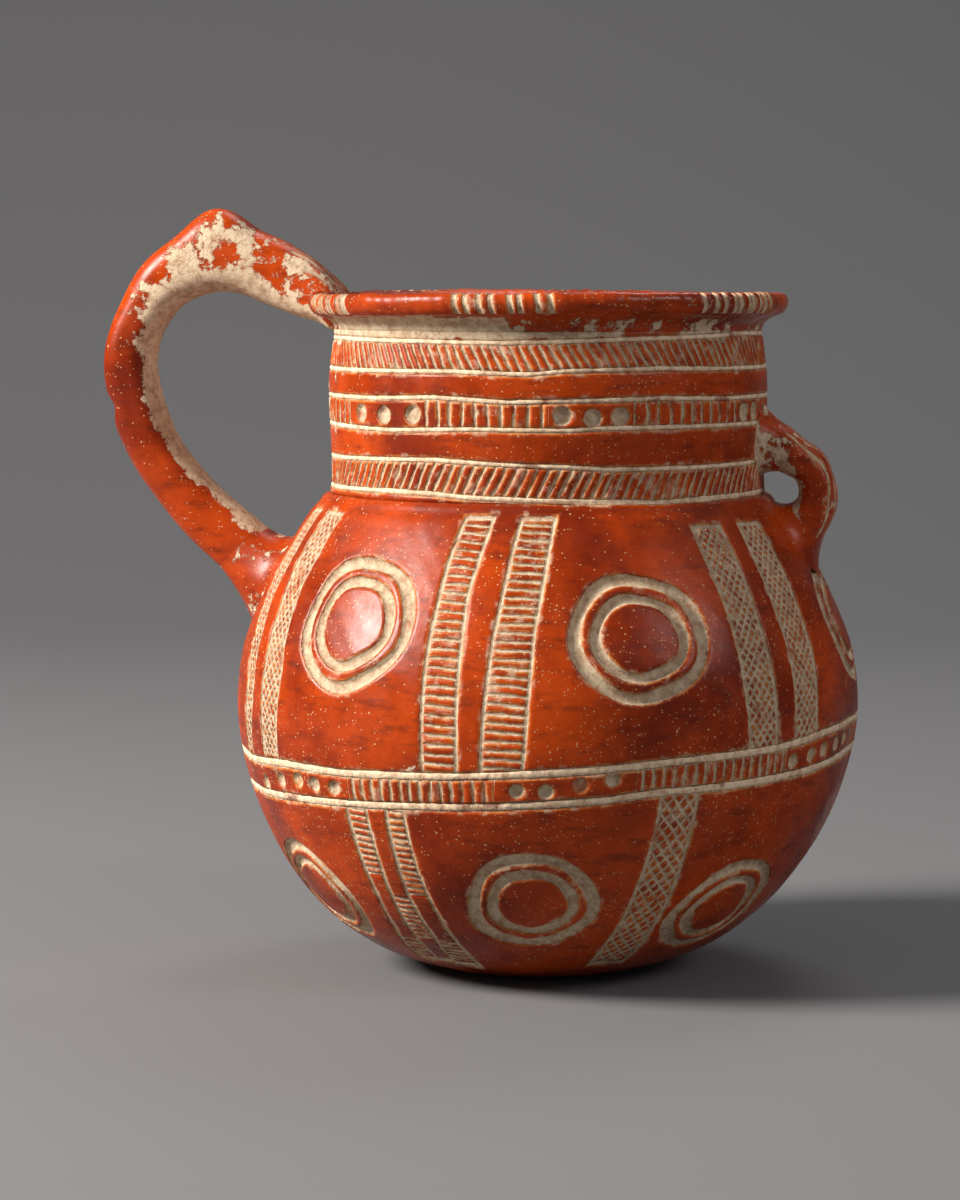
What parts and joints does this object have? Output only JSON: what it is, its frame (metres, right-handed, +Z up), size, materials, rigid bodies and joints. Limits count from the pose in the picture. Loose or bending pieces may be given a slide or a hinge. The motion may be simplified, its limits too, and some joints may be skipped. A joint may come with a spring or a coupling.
{
  "type": "one-handled pottery jar",
  "caption": "Hand-built red-slipped tankard with a round body, a straight neck, an everted lip, a high rod handle, a pierced string lug and lime-filled incised lines.",
  "frame": {"origin": "on the worn flat under the bowl, on the axis of the neck", "axes": "+Z up, -X towards the handle, +X towards the string lug, millimetres in the source and metres here"},
  "size_m": [0.2231, 0.1806, 0.2199],
  "materials": {
    "slipped_clay": "burnished red slip",
    "bare_clay": "matt fired clay",
    "lime": "chalky, matt"
  },
  "bodies": {
    "root": {"base_bowl": "slipped_clay", "girdle_coil": "slipped_clay", "shoulder_wall": "slipped_clay", "neck_collar": "slipped_clay", "rim_lip": "slipped_clay", "handle": "slipped_clay", "handle_foot_lute": "slipped_clay", "handle_rim_lute": "slipped_clay", "string_lug": "slipped_clay", "lug_neck_lute": "slipped_clay", "lug_shoulder_lute": "slipped_clay", "tenon_pad": "bare_clay", "neck_inlay_1": "lime", "neck_inlay_2": "lime", "neck_inlay_3": "lime", "neck_inlay_4": "lime", "neck_inlay_5": "lime", "neck_inlay_6": "lime", "girdle_inlay_lower": "lime", "girdle_inlay_upper": "lime"}
  },
  "joints": []
}
